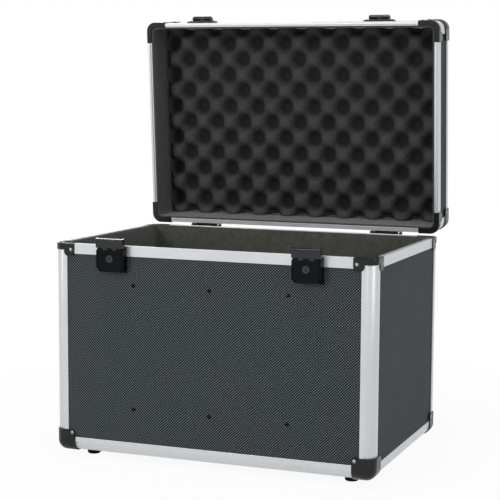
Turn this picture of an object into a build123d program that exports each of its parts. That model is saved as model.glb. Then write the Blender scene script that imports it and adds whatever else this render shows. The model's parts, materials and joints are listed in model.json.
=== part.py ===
from build123d import *
import os
from math import cos, radians, sin

# Case, measured over the outside faces of its aluminium profiles, in millimetres
width = 520
depth = 347
body_height = 326
lid_height = 76
foot_height = 11.5
open_angle = 86
shut_gap = 0.4
fit_gap = 0.15
bore_play = 0.05

# Aluminium edge profile: quarter-round outside, a channel for each of two panels inside
edge_leg = 21.5
edge_radius = 14
skin = 1.6
lip = 1.3
web = 1.4
panel_thickness = 4
panel_play = 0.2

# Rim profile: a channel over the panel edge, grooved on the body and tongued on the lid
rim_flange = 16
rim_inner_flange = 12
rim_groove_depth = 3.2
rim_web = 1.5
rim_wall = 1.6
tongue_width = 2.4
tongue_height = 2.5

# Lining cloth, floor pad and dividers
liner_thickness = 3
liner_drop = 1
divider_shift = 4
divider_thickness = 10
divider_drop = 45
divider_edge_radius = 3
divider_screw_heights = (73, 265)

# Moulded corners
cap_thickness = 1.5
cap_leg = 34
cap_band = 10
cap_inner_flange = 8
cap_tab_start = 17
cap_tab_drop = 19.7
cap_tab_radius = 7
cap_mouth_radius = 9
cap_rivet_along = 28.5
cap_rivet_drop = 9.6
ball_thickness = 1.8
ball_leg = 33
ball_core = 14
ball_tab_radius = 6
ball_rivet = 28.5
ball_span = 66

# Fasteners
rivet_radius = 1.6
rivet_head_radius = 2.8
rivet_head_height = 1.1
screw_radius = 1.75
screw_head_radius = 3.2
screw_head_height = 1.3
screw_grip = 14

# Rubber feet
foot_radius = 11.5
foot_taper = 1.3
foot_inset_x = 45
foot_inset_y = 40
foot_chamfer = 1
foot_recess_radius = 4.6
foot_recess_depth = 4
foot_screw_head_radius = 4
foot_screw_head_height = 2.4

# Hinges
hinge_from_left = 101.5
hinge_from_right = 90
hinge_back = 3.5
hinge_up = 1
hinge_barrel_radius = 2.5
hinge_pin_radius = 1.25
hinge_leaf_thickness = 1.2
hinge_leaf_drop = 15.5
hinge_leaf_height = 12.5
hinge_strip = (0.5, 2)
hinge_knuckles = (8, 40, 4.5)
hinge_knuckle_gap = 0.3
hinge_width = 55.5
hinge_rivet_pitch = 18
hinge_rivet_drop = 9.5

# Latches: forward distances are from the front face, heights from the body's rim
latch_from_side = 101.5
latch_half_width = 22.7
latch_base_thickness = 2
latch_base_bottom = -41
latch_cheek = 2.3
latch_cheek_front = 13
latch_cheek_top = -3.5
lever_half_width = 20
lever_front = 13.2
lever_plate = 2.5
lever_bottom = -38.6
lever_chamfer = 5
lever_side = 1.4
lever_side_back = 6
lever_ear_radius = 2.2
lever_pivot = (4.8, -2.9)
lever_pin_radius = 1.2
knuckle_radius = 2.3
knuckle_relief = 0.35
knuckle_halves = (4, 12)
draw_pin_z = -5.5
draw_pin_radius = 1
hook_plate = 2
hook_wall = 1.8
hook_wall_back = 5.6
hook_top = 11.3
hook_lip = 1.8
hook_lip_back = 9
hook_edge_radius = 1.4
hook_wall_low = 0.6
hook_wall_root = 8.4
hook_tilt = 9
lock_z = -19.5
lock_radius = 5.2
lock_proud = 0.7
lock_back = 3
lock_cam_reach = 9.3
lock_cam_width = 4
lock_cam_thickness = 2
lock_slot = (1.2, 5, 2)
lock_keeper_width = 8
lock_keeper_wall = 1.5
lock_keeper_gap = 1.3
lock_bezel_radius = 5.7
lock_clip_radius = 6.2
lock_clip = 0.7
lever_pin_head_radius = 2
lever_pin_head = 0.7
latch_rivet_x = 14
latch_rivet_heights = (-24, -36.5)

# Catches on the lid's front rim
catch_half_width = 25.8
catch_plate = 2.6
catch_top = 15.5
catch_bottom = 0.8
catch_ledge_half_width = 18
catch_ledge_front = 10.9
catch_ledge_top = 8.9
catch_ledge_nose = 1.3
catch_ledge_under = 5.5
catch_ledge_root = 8
catch_ledge_rise = 14
catch_ledge_corner = 2
catch_hollow = ((4.1, 5), (5.8, 5), (8.6, 7.3), (7.9, 7.5), (4.1, 10.8))
catch_hollow_across = (3, 15)
catch_corner = 2.5
catch_rivet_x = 22
catch_rivet_z = 8

# Foam in the lid
foam_back = 6
foam_peak = 24
foam_pitch_x = 52
foam_pitch_y = 55
foam_pit_radius = 15.5
foam_pit_taper = 27
foam_margin = 17

# Carrying handle on the lid's top
handle_arm = 34
handle_arm_x = 57.5
handle_arm_radius = 4.5
handle_bend = 13
handle_grip_radius = 8.5
handle_grip_length = 84
handle_pivot_height = 9.6
handle_pin_radius = 3.5
handle_pin_reach = 12
handle_play = 0.5
handle_grip_edge = 2
bracket_inner_x = 62.6
bracket_length = 16
bracket_boss_radius = 9
bracket_half_foot = 18
bracket_foot_thickness = 3
bracket_screw_y = 13.5

# Places worked out from the sizes above
z_floor = foot_height
z_rim = z_floor + body_height
z_lid = z_rim + shut_gap
z_top = z_lid + lid_height
half = width / 2
panel_in = skin + panel_thickness
lip_in = panel_in + lip
panel_edge = edge_radius + panel_play
cut = edge_leg + panel_play
cap_end = cap_leg + fit_gap
liner_out = lip_in + fit_gap
liner_in = liner_out + liner_thickness
pad_out = panel_in + bore_play
rim_web_low = rim_groove_depth + rim_web
ball_middle = Plane.XY.offset((z_floor + z_top) / 2)
draw_pin = (lever_front - knuckle_radius, draw_pin_z)
handle_z = z_top - skin + handle_pivot_height


def opened(y, z):
    """Where a point of the shut lid stands once the lid is open, y counted from the front face."""
    turn = radians(open_angle)
    dy = y - (depth + hinge_back)
    dz = z - (z_rim + hinge_up)
    return (depth + hinge_back + dy * cos(turn) + dz * sin(turn),
            z_rim + hinge_up - dy * sin(turn) + dz * cos(turn))


# The origin is under the middle of the open case, so the front face stands this far forward of it
tilt = radians(hook_tilt)
reach_front = (draw_pin[0] + (knuckle_radius - hook_edge_radius) * cos(tilt)
               + (hook_top - hook_edge_radius - draw_pin_z) * sin(tilt) + hook_edge_radius)
reach_back = max(opened(depth / 2 + handle_arm, handle_z)[0] + handle_grip_radius,
                 opened(depth / 2, handle_z)[0] + bracket_boss_radius,
                 opened(depth - edge_radius, z_top - edge_radius)[0] + edge_radius + ball_thickness)
y_front = (reach_front - reach_back) / 2
y_back = y_front + depth
hinge_axis = Axis((0, y_back + hinge_back, z_rim + hinge_up), (1, 0, 0))
draw_axis = Axis((0, y_front - draw_pin[0], z_rim + draw_pin[1]), (1, 0, 0))


def save(name, part):
    """Label one finished piece and write it."""
    part.label = name
    export_step(part, f"parts/{name}.step")


def save_lid(name, part):
    """The lid's pieces are drawn shut on the body, and stand swung open about the hinge."""
    save(name, part.rotate(hinge_axis, -open_angle))


def block(x, y, z, mode=Mode.ADD):
    """A box between two limits along each axis."""
    with Locations(((x[0] + x[1]) / 2, (y[0] + y[1]) / 2, (z[0] + z[1]) / 2)):
        Box(abs(x[1] - x[0]), abs(y[1] - y[0]), abs(z[1] - z[0]), mode=mode)


def sides(z, inset):
    """For each wall, the plane where its straight profile starts (X inward, Y up) and its length."""
    return [
        (Plane((-half + inset, y_front, z), x_dir=(0, 1, 0), z_dir=(1, 0, 0)), width - 2 * inset),
        (Plane((half - inset, y_back, z), x_dir=(0, -1, 0), z_dir=(-1, 0, 0)), width - 2 * inset),
        (Plane((-half, y_back - inset, z), x_dir=(1, 0, 0), z_dir=(0, -1, 0)), depth - 2 * inset),
        (Plane((half, y_front + inset, z), x_dir=(-1, 0, 0), z_dir=(0, 1, 0)), depth - 2 * inset),
    ]


def corners(z):
    """The four outer corners, turned so that local X and Y both run inward along the walls."""
    return [Location((-half, y_front, z), (0, 0, 0)), Location((half, y_front, z), (0, 0, 90)),
            Location((half, y_back, z), (0, 0, 180)), Location((-half, y_back, z), (0, 0, 270))]


def wall_spots(along, z, proud):
    """Two places a corner, one on each wall, facing out."""
    spots = []
    for sx in (-1, 1):
        for y, facing in ((y_front, -1), (y_back, 1)):
            spots.append(Plane((sx * (half - along), y + facing * proud, z), z_dir=(0, facing, 0)))
            spots.append(Plane((sx * (half + proud), y - facing * along, z), z_dir=(sx, 0, 0)))
    return [spot.location for spot in spots]


def base_spots(along, z, facing):
    """One place a corner on a level face."""
    return [Plane((sx * (half - along), y, z), z_dir=(0, 0, facing)).location
            for sx in (-1, 1) for y in (y_front + along, y_back - along)]


def drill(spots, radius, length):
    """Holes along the facing of each place, length deep."""
    with Locations(*spots):
        Cylinder(radius + bore_play, length, mode=Mode.SUBTRACT,
                 align=(Align.CENTER, Align.CENTER, Align.MAX))


def fastener(head_radius, head_height, radius, length):
    """One round-headed rivet or screw, its head's underside at the origin and its shank below."""
    dome = (head_radius ** 2 + head_height ** 2) / (2 * head_height)
    midway = head_height - dome + (dome ** 2 - head_radius ** 2 / 4) ** 0.5
    with BuildPart() as piece:
        with BuildSketch(Plane.XZ):
            with BuildLine():
                Polyline((0, head_height), (0, -length), (radius, -length), (radius, 0), (head_radius, 0))
                ThreePointArc((head_radius, 0), (head_radius / 2, midway), (0, head_height))
            make_face()
        revolve(axis=Axis.Z)
    return piece.part


def edge_section():
    """Quarter-round double-channel section, its outer corner at the origin."""
    inner = edge_radius - skin
    near = edge_radius - edge_radius * cos(radians(45))
    near_in = edge_radius - inner * cos(radians(45))
    with BuildLine() as outer_wall:
        Polyline((edge_leg, skin), (edge_leg, 0), (edge_radius, 0))
        ThreePointArc((edge_radius, 0), (near, near), (0, edge_radius))
        Polyline((0, edge_radius), (0, edge_leg), (skin, edge_leg), (skin, edge_radius))
        ThreePointArc((skin, edge_radius), (near_in, near_in), (edge_radius, skin))
        Line((edge_radius, skin), (edge_leg, skin))
    make_face(outer_wall.edges())
    with BuildLine() as inner_lips:
        Polyline((panel_in, panel_in), (edge_leg, panel_in), (edge_leg, lip_in), (lip_in, lip_in),
                 (lip_in, edge_leg), (panel_in, edge_leg), close=True)
    make_face(inner_lips.edges())
    centre = (edge_radius - web / 2, (skin + panel_in) / 2)
    with Locations(centre, centre[::-1]):
        Rectangle(web, web)
    with Locations(centre):
        Rectangle(web, panel_thickness + web / 2)
    with Locations(centre[::-1]):
        Rectangle(panel_thickness + web / 2, web)


def ring(outer_inset, outer_radius, inner_inset, inner_radius, z, height, mode=Mode.ADD):
    """A rounded frame that follows the case's outline between two insets from its outside."""
    with BuildSketch(Plane.XY.offset(z)) as outline:
        with Locations((0, y_front + depth / 2)):
            RectangleRounded(width - 2 * outer_inset, depth - 2 * outer_inset, outer_radius)
            RectangleRounded(width - 2 * inner_inset, depth - 2 * inner_inset, inner_radius,
                             mode=Mode.SUBTRACT)
    extrude(outline.sketch, amount=height, mode=mode)


# Fastener places shared by what they hold together and by the holes for them
rim_cap_spots = wall_spots(cap_rivet_along, z_rim - cap_rivet_drop, cap_thickness)
lid_cap_spots = wall_spots(cap_rivet_along, z_lid + cap_rivet_drop, cap_thickness)
ball_wall_spots = wall_spots(ball_rivet, z_floor + ball_rivet, ball_thickness)
ball_floor_spots = base_spots(ball_rivet, z_floor - ball_thickness, -1)
lid_ball_wall_spots = wall_spots(ball_rivet, z_top - ball_rivet, ball_thickness)
lid_ball_top_spots = base_spots(ball_rivet, z_top + ball_thickness, 1)
divider_pitch = half / 2 - divider_shift
divider_xs = (-divider_pitch, 0, divider_pitch)
divider_spots = [Plane((x, y + facing * -skin, z_floor + height), z_dir=(0, facing, 0)).location
                 for x in divider_xs for height in divider_screw_heights
                 for y, facing in ((y_front, -1), (y_back, 1))]
latch_xs = {"left": -half + latch_from_side, "right": half - latch_from_side}
latch_spots = [Plane((x + side * latch_rivet_x, y_front - latch_base_thickness, z_rim + height),
                     z_dir=(0, -1, 0)).location
               for x in latch_xs.values() for side in (-1, 1) for height in latch_rivet_heights]
catch_spots = [Plane((x + side * catch_rivet_x, y_front - catch_plate, z_rim + catch_rivet_z),
                     z_dir=(0, -1, 0)).location for x in latch_xs.values() for side in (-1, 1)]
hinge_xs = {"left": -half + hinge_from_left, "right": half - hinge_from_right}
hinge_base_spots = [Plane((x + step * hinge_rivet_pitch, y_back + hinge_leaf_thickness,
                           z_rim - hinge_rivet_drop), z_dir=(0, 1, 0)).location
                    for x in hinge_xs.values() for step in (-1, 0, 1)]
hinge_lid_spots = [Plane((x + step * hinge_rivet_pitch, y_back + hinge_leaf_thickness,
                          z_rim + hinge_rivet_drop), z_dir=(0, 1, 0)).location
                   for x in hinge_xs.values() for step in (-1, 0, 1)]
foot_places = [(sx * (half - foot_inset_x), y)
               for sx in (-1, 1) for y in (y_front + foot_inset_y, y_back - foot_inset_y)]
foot_spots = [Plane((x, y, foot_recess_depth), z_dir=(0, 0, -1)).location for x, y in foot_places]
bracket_x = bracket_inner_x + bracket_length / 2
handle_y = y_front + depth / 2
bracket_spots = [Plane((sx * bracket_x, handle_y + sy * bracket_screw_y,
                        z_top - skin + bracket_foot_thickness), z_dir=(0, 0, 1)).location
                 for sx in (-1, 1) for sy in (-1, 1)]
through_cap = cap_thickness + panel_in
through_ball = ball_thickness + panel_in
through_latch = latch_base_thickness + panel_in
through_catch = catch_plate + panel_in
through_hinge = hinge_leaf_thickness + panel_in

os.makedirs("parts", exist_ok=True)

# Body panels
wall_z = (z_floor + panel_edge, z_rim - rim_web_low - panel_play)
wall_x = (-half + panel_edge, half - panel_edge)
wall_y = (y_front + panel_edge, y_back - panel_edge)

with BuildPart() as front_panel:
    block(wall_x, (y_front + skin, y_front + panel_in), wall_z)
    drill(rim_cap_spots + ball_wall_spots, rivet_radius, through_ball)
    drill(divider_spots, screw_radius, panel_in)
    drill(latch_spots, rivet_radius, through_latch)
save("front_panel", front_panel.part)

with BuildPart() as rear_panel:
    block(wall_x, (y_back - panel_in, y_back - skin), wall_z)
    drill(rim_cap_spots + ball_wall_spots, rivet_radius, through_ball)
    drill(divider_spots, screw_radius, panel_in)
    drill(hinge_base_spots, rivet_radius, through_hinge)
save("rear_panel", rear_panel.part)

for name, side in (("left_panel", -1), ("right_panel", 1)):
    with BuildPart() as side_panel:
        block((side * (half - skin), side * (half - panel_in)), wall_y, wall_z)
        drill(rim_cap_spots + ball_wall_spots, rivet_radius, through_ball)
    save(name, side_panel.part)

with BuildPart() as bottom_panel:
    block(wall_x, wall_y, (z_floor + skin, z_floor + panel_in))
    drill(ball_floor_spots, rivet_radius, through_ball)
    drill(foot_spots, screw_radius, z_floor + panel_in)
save("bottom_panel", bottom_panel.part)

# Body profiles
with BuildSketch() as edge_profile:
    edge_section()

with BuildPart() as corner_posts:
    with BuildSketch(Plane.XY.offset(z_floor + cut)):
        with Locations(*corners(0)):
            add(edge_profile.sketch)
    extrude(amount=body_height - cut - cap_band - fit_gap)
save("corner_posts", corner_posts.part)

with BuildPart() as bottom_edges:
    for plane, length in sides(z_floor, cut):
        with BuildSketch(plane):
            add(edge_profile.sketch)
        extrude(amount=length)
save("bottom_edges", bottom_edges.part)


def rim_section(up):
    """Channel over a panel's edge: grooved below the parting plane (up = -1), flat above it (up = 1)."""
    near = rim_groove_depth if up < 0 else 0
    with Locations((rim_wall / 2, up * rim_flange / 2)):
        Rectangle(rim_wall, rim_flange)
    with Locations((panel_in + lip / 2, up * rim_inner_flange / 2)):
        Rectangle(lip, rim_inner_flange)
    with Locations((lip_in / 2, up * (near + rim_web / 2))):
        Rectangle(lip_in, rim_web)


with BuildPart() as base_rims:
    for plane, length in sides(z_rim, cap_end):
        with BuildSketch(plane):
            rim_section(-1)
        extrude(amount=length)
    drill(hinge_base_spots, rivet_radius, through_hinge)
save("base_rims", base_rims.part)

# The lid's rims close on the body's: three have a tongue for the groove, the hinge side has none
with BuildPart() as lid_rims:
    for number, (plane, length) in enumerate(sides(z_lid, cap_end)):
        with BuildSketch(plane):
            rim_section(1)
            if number != 1:
                with Locations(((rim_wall + panel_in) / 2, -tongue_height / 2)):
                    Rectangle(tongue_width, tongue_height)
        extrude(amount=length)
    drill(hinge_lid_spots, rivet_radius, through_hinge)
    drill(catch_spots, rivet_radius, through_catch)
save_lid("lid_rims", lid_rims.part)


def tab(plane, start, end, thickness):
    """One rivet tab's layer: from start to end along the wall, hanging from the parting plane."""
    with BuildSketch(plane) as face:
        with Locations(((start + end) / 2, 0)):
            RectangleRounded(end - start, 2 * cap_tab_drop, min(cap_tab_radius, (end - start) / 2 - fit_gap))
    extrude(face.sketch, amount=thickness)


def rim_caps(plane_z, up, spots):
    """Four moulded corners that carry a rim round: a band, and a tab with a rivet on each wall."""
    near = rim_groove_depth if up < 0 else 0
    far = near + rim_web
    with BuildPart() as frame:
        for outer, inner, start, end in ((-cap_thickness, lip_in, 0, far),
                                         (-cap_thickness, skin - fit_gap, far, cap_band),
                                         (panel_in + fit_gap, lip_in, far, cap_inner_flange)):
            low, high = sorted((plane_z + up * start, plane_z + up * end))
            ring(outer, edge_radius - outer, inner, max(edge_radius - inner, cap_mouth_radius),
                 low, high - low)
        if up < 0:
            ring(rim_wall, edge_radius - rim_wall, panel_in, cap_mouth_radius,
                 plane_z - near, near, mode=Mode.SUBTRACT)
    with BuildPart() as caps:
        with Locations(*corners(plane_z)):
            Box(2 * cap_leg, 2 * cap_leg, 2 * cap_band)
        add(frame.part, mode=Mode.INTERSECT)
        for plane, length in sides(plane_z, 0):
            wall = Plane(plane.origin, x_dir=plane.z_dir, z_dir=-plane.x_dir)
            for start, end in ((cap_tab_start, cap_leg), (length - cap_leg, length - cap_tab_start)):
                tab(wall.offset(fit_gap), start, end, cap_thickness - fit_gap)
            for start, end in ((cut, cap_leg), (length - cap_leg, length - cut)):
                tab(wall.offset(fit_gap - skin), start, end, skin)
        beyond = plane_z - up * cap_tab_drop
        block((-width, width), (y_front - width, y_back + width), (plane_z, beyond), mode=Mode.SUBTRACT)
        drill(spots, rivet_radius, through_cap)
    return caps.part


save("base_rim_corners", rim_caps(z_rim, -1, rim_cap_spots))
save_lid("lid_rim_corners", rim_caps(z_lid, 1, lid_cap_spots))


def corner_space(inset):
    """Everything inside a corner of the case that is a given distance in from its outside faces."""
    with BuildPart() as space:
        block((inset, ball_span), (inset, ball_span), (inset, ball_span))
        near_edges = [edge for edge in space.edges()
                      if sum(abs(value - inset) < bore_play for value in edge.center()) == 2]
        fillet(near_edges, edge_radius - inset)
    return space.part


# One moulded ball corner, drawn with its point at the origin and its legs along +X, +Y and +Z
with BuildPart() as ball_room:
    add(corner_space(-fit_gap))
    block((-ball_leg, edge_leg), (-ball_leg, edge_leg), (-ball_leg, edge_leg), mode=Mode.SUBTRACT)
with BuildPart() as ball_hollow:
    add(corner_space(skin - fit_gap))
    block((0, ball_core), (0, ball_core), (0, ball_core), mode=Mode.SUBTRACT)
    block((lip_in, ball_span), (lip_in, ball_span), (lip_in, ball_span))
with BuildPart() as ball_reach:
    block((-ball_thickness, ball_leg), (-ball_thickness, ball_leg), (-ball_thickness, ball_leg))
    far_edges = [edge for edge in ball_reach.edges()
                 if sum(abs(value - ball_leg) < bore_play for value in edge.center()) == 2]
    fillet(far_edges, ball_tab_radius)
with BuildPart() as ball_cap:
    add(corner_space(-ball_thickness))
    add(ball_room.part, mode=Mode.SUBTRACT)
    add(ball_hollow.part, mode=Mode.SUBTRACT)
    for plane in (Plane.XY, Plane.YZ, Plane.ZX):
        with BuildSketch(plane.offset(-2 * fit_gap)):
            with Locations(((cut + ball_leg) / 2, (cut + ball_leg) / 2)):
                Rectangle(ball_leg - cut, ball_leg - cut)
        extrude(amount=skin + fit_gap)
    add(ball_reach.part, mode=Mode.INTERSECT)
with BuildPart() as base_ball_corners:
    with Locations(*corners(z_floor)):
        add(ball_cap.part)
with BuildPart() as lid_ball_corners:
    mirror(base_ball_corners.part, about=ball_middle)
    drill(lid_ball_wall_spots + lid_ball_top_spots, rivet_radius, through_ball)
save_lid("lid_ball_corners", lid_ball_corners.part)
with BuildPart() as drilled_ball_corners:
    add(base_ball_corners.part)
    drill(ball_wall_spots + ball_floor_spots, rivet_radius, through_ball)
save("base_ball_corners", drilled_ball_corners.part)

# Rivets of the moulded corners
cap_rivet = fastener(rivet_head_radius, rivet_head_height, rivet_radius, through_cap)
ball_rivets = fastener(rivet_head_radius, rivet_head_height, rivet_radius, through_ball)
with BuildPart() as base_rivets:
    with Locations(*rim_cap_spots):
        add(cap_rivet)
    with Locations(*ball_wall_spots, *ball_floor_spots):
        add(ball_rivets)
save("base_corner_rivets", base_rivets.part)
with BuildPart() as lid_rivets:
    with Locations(*lid_cap_spots):
        add(cap_rivet)
    with Locations(*lid_ball_wall_spots, *lid_ball_top_spots):
        add(ball_rivets)
save_lid("lid_corner_rivets", lid_rivets.part)

# Rubber feet, each with a screw up in its recess
foot_top = z_floor + skin
foot_bore = screw_radius + bore_play
foot_base = foot_radius - foot_taper
with BuildPart() as rubber_foot:
    with BuildSketch(Plane.XZ):
        with BuildLine():
            Polyline((foot_bore, foot_top), (foot_radius, foot_top), (foot_base, foot_chamfer),
                     (foot_base - foot_chamfer, 0), (foot_recess_radius, 0),
                     (foot_recess_radius, foot_recess_depth), (foot_bore, foot_recess_depth), close=True)
        make_face()
    revolve(axis=Axis.Z)
with BuildPart() as rubber_feet:
    with Locations(*[(x, y, 0) for x, y in foot_places]):
        add(rubber_foot.part)
save("rubber_feet", rubber_feet.part)
with BuildPart() as foot_screws:
    with Locations(*foot_spots):
        add(fastener(foot_screw_head_radius, foot_screw_head_height, screw_radius,
                     z_floor + panel_in - foot_recess_depth))
save("foot_screws", foot_screws.part)


def wall_lining(z, pad_z, spots):
    """A sleeve of lining round the walls, filled out to the panels between the profiles' lips."""
    with BuildPart() as lining:
        ring(liner_out, cap_mouth_radius, liner_in, cap_mouth_radius - liner_thickness, z[0], z[1] - z[0])
        for side in (-1, 1):
            block((side * (half - pad_out), side * (half - liner_out)), (y_front + cut, y_back - cut), pad_z)
        for y, inward in ((y_front, 1), (y_back, -1)):
            block((-half + cut, half - cut), (y + inward * pad_out, y + inward * liner_out), pad_z)
        if spots:
            drill(spots, screw_radius, liner_in)
    return lining.part


# Lining of the body
floor_top = z_floor + liner_in
save("base_wall_liner", wall_lining((floor_top + fit_gap, z_rim - liner_drop),
                                    (z_floor + cut, z_rim - rim_inner_flange - fit_gap), divider_spots))
with BuildPart() as floor_liner:
    block((-half + liner_out, half - liner_out), (y_front + liner_out, y_back - liner_out),
          (z_floor + liner_out, floor_top))
    block((-half + cut, half - cut), (y_front + cut, y_back - cut),
          (z_floor + pad_out, z_floor + liner_out))
save("floor_liner", floor_liner.part)

# Three fixed dividers, screwed through the front and rear walls
for name, x in zip(("divider_left", "divider_centre", "divider_right"), divider_xs):
    with BuildPart() as divider:
        block((x - divider_thickness / 2, x + divider_thickness / 2),
              (y_front + liner_in + fit_gap, y_back - liner_in - fit_gap),
              (floor_top + fit_gap, z_rim - divider_drop))
        fillet(divider.faces().sort_by(Axis.Z)[-1].edges().filter_by(Axis.Y), divider_edge_radius)
        drill(divider_spots, screw_radius, liner_in + screw_grip)
    save(name, divider.part)
with BuildPart() as divider_screws:
    with Locations(*divider_spots):
        add(fastener(screw_head_radius, screw_head_height, screw_radius, liner_in + screw_grip - skin))
save("divider_screws", divider_screws.part)

# Lid panels
lid_wall_z = (z_lid + rim_web + panel_play, z_top - panel_edge)
with BuildPart() as lid_front_panel:
    block(wall_x, (y_front + skin, y_front + panel_in), lid_wall_z)
    drill(lid_cap_spots + lid_ball_wall_spots, rivet_radius, through_ball)
    drill(catch_spots, rivet_radius, through_catch)
save_lid("lid_front_panel", lid_front_panel.part)
with BuildPart() as lid_rear_panel:
    block(wall_x, (y_back - panel_in, y_back - skin), lid_wall_z)
    drill(lid_cap_spots + lid_ball_wall_spots, rivet_radius, through_ball)
    drill(hinge_lid_spots, rivet_radius, through_hinge)
save_lid("lid_rear_panel", lid_rear_panel.part)
for name, side in (("lid_left_panel", -1), ("lid_right_panel", 1)):
    with BuildPart() as lid_side_panel:
        block((side * (half - skin), side * (half - panel_in)), wall_y, lid_wall_z)
        drill(lid_cap_spots + lid_ball_wall_spots, rivet_radius, through_ball)
    save_lid(name, lid_side_panel.part)
with BuildPart() as lid_top_panel:
    block(wall_x, wall_y, (z_top - panel_in, z_top - skin))
    drill(lid_ball_top_spots, rivet_radius, through_ball)
    drill(bracket_spots, screw_radius, bracket_foot_thickness + panel_thickness)
save_lid("lid_top_panel", lid_top_panel.part)

# Lid profiles
with BuildPart() as lid_corner_posts:
    with BuildSketch(Plane.XY.offset(z_lid + cap_band + fit_gap)):
        with Locations(*corners(0)):
            add(edge_profile.sketch)
    extrude(amount=lid_height - cut - cap_band - fit_gap)
save_lid("lid_corner_posts", lid_corner_posts.part)
with BuildPart() as lid_top_edges:
    mirror(bottom_edges.part, about=ball_middle)
save_lid("lid_top_edges", lid_top_edges.part)

# Lid lining and its egg-crate foam: pits in two grids, one set half a pitch off the other
save_lid("lid_liner", wall_lining((z_lid + liner_drop, z_top - liner_out),
                                  (z_lid + rim_inner_flange + fit_gap, z_top - cut), []))
foam_top = z_top - liner_out
foam_face = foam_top - foam_peak
foam_x = half - liner_in - 2 * fit_gap
foam_y = depth / 2 - liner_in - 2 * fit_gap
columns = int((foam_x - foam_margin) / foam_pitch_x)
rows = int((foam_y - foam_margin) / foam_pitch_y)
with BuildPart() as lid_foam:
    with BuildSketch(Plane.XY.offset(foam_face)):
        with Locations((0, y_front + depth / 2)):
            RectangleRounded(2 * foam_x, 2 * foam_y, cap_mouth_radius - liner_thickness)
    extrude(amount=foam_peak)
    block((-half + cut, half - cut), (y_front + cut, y_back - cut), (foam_top, z_top - pad_out))
    with BuildSketch(Plane.XY.offset(foam_face)):
        with Locations((0, y_front + depth / 2)):
            with GridLocations(foam_pitch_x, foam_pitch_y, 2 * columns + 1, 2 * rows + 1):
                RegularPolygon(foam_pit_radius, 8)
            with GridLocations(foam_pitch_x, foam_pitch_y, 2 * columns, 2 * rows):
                RegularPolygon(foam_pit_radius, 8)
    extrude(amount=foam_peak - foam_back, taper=foam_pit_taper, mode=Mode.SUBTRACT)
save_lid("lid_foam", lid_foam.part)


def across(x):
    """Plane for a section seen from the side: local X forward of the front face, local Y up from the rim."""
    return Plane((x, y_front, z_rim), x_dir=(0, -1, 0), z_dir=(-1, 0, 0))


def prism(points, x, mode=Mode.ADD):
    """A side section of straight lines between two places across the case."""
    with BuildSketch(across((x[0] + x[1]) / 2)) as section:
        with BuildLine():
            Polyline(*points, close=True)
        make_face()
    extrude(section.sketch, amount=abs(x[1] - x[0]) / 2, both=True, mode=mode)


def rod(centre, radius, x, mode=Mode.ADD):
    """A round bar across the case, its centre given forward of the front face and up from the rim."""
    with BuildSketch(across((x[0] + x[1]) / 2)) as section:
        with Locations(centre):
            Circle(radius)
    extrude(section.sketch, amount=abs(x[1] - x[0]) / 2, both=True, mode=mode)


def plate(x, z, near, far, mode=Mode.ADD):
    """A box on the front: across, up from the rim, and forward of the front face."""
    block(x, (y_front - near, y_front - far), (z_rim + z[0], z_rim + z[1]), mode)


def both_sides(near, far):
    """The same span on both sides of the middle."""
    return ((-far, -near), (near, far))


def save_pair(name, part, xs):
    """Two of a piece that was drawn at the middle."""
    for side, x in xs.items():
        save(f"{name}_{side}", part.moved(Location((x, 0, 0))))


# Latch base: a tray over the rim with two cheeks for the lever and a keeper for the lock's cam
cheek_in = latch_half_width - latch_cheek
lock_face = lever_front + lock_proud
cam_front = lock_back + lock_cam_thickness
keeper_low = lock_z - lock_cam_reach - panel_play - lock_keeper_wall
keeper_lip = cam_front + 2 * fit_gap
mid_latch_spots = [Plane((side * latch_rivet_x, y_front - latch_base_thickness, z_rim + height),
                         z_dir=(0, -1, 0)).location for side in (-1, 1) for height in latch_rivet_heights]
with BuildPart() as latch_base:
    plate((-latch_half_width, latch_half_width), (latch_base_bottom, latch_cheek_top),
          0, latch_base_thickness)
    plate((-latch_half_width, latch_half_width), (latch_base_bottom, -rim_flange - panel_play), -skin, 0)
    for x in both_sides(cheek_in, latch_half_width):
        prism([(0, latch_cheek_top), (lever_pivot[0] + lever_ear_radius, latch_cheek_top),
               (latch_cheek_front, draw_pin_z - knuckle_radius),
               (latch_cheek_front, lever_bottom + lever_chamfer),
               (latch_base_thickness, latch_base_bottom), (0, latch_base_bottom)], x)
        rod(lever_pivot, lever_ear_radius, x)
        rod(lever_pivot, lever_pin_radius + bore_play, x, Mode.SUBTRACT)
    half_keeper = lock_keeper_width / 2
    plate((-half_keeper, half_keeper), (keeper_low, keeper_low + lock_keeper_wall),
          latch_base_thickness, keeper_lip + lock_keeper_wall)
    plate((-half_keeper, half_keeper), (keeper_low, lock_z - lock_radius - lock_keeper_gap),
          keeper_lip, keeper_lip + lock_keeper_wall)
    drill(mid_latch_spots, rivet_radius, through_latch)
save_pair("latch_base", latch_base.part, latch_xs)

with BuildPart() as latch_rivets:
    with Locations(*latch_spots):
        add(fastener(rivet_head_radius, rivet_head_height, rivet_radius, through_latch))
save("latch_rivets", latch_rivets.part)

# Lever pivot pins, one in each cheek
pivot_in = lever_half_width - lever_side
with BuildPart() as latch_pivot_pins:
    for x in latch_xs.values():
        for side in (-1, 1):
            outside = latch_half_width + lever_pin_head
            rod(lever_pivot, lever_pin_radius, (x + side * pivot_in, x + side * outside))
            rod(lever_pivot, lever_pin_head_radius, (x + side * latch_half_width, x + side * outside))
save("latch_pivot_pins", latch_pivot_pins.part)

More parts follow.
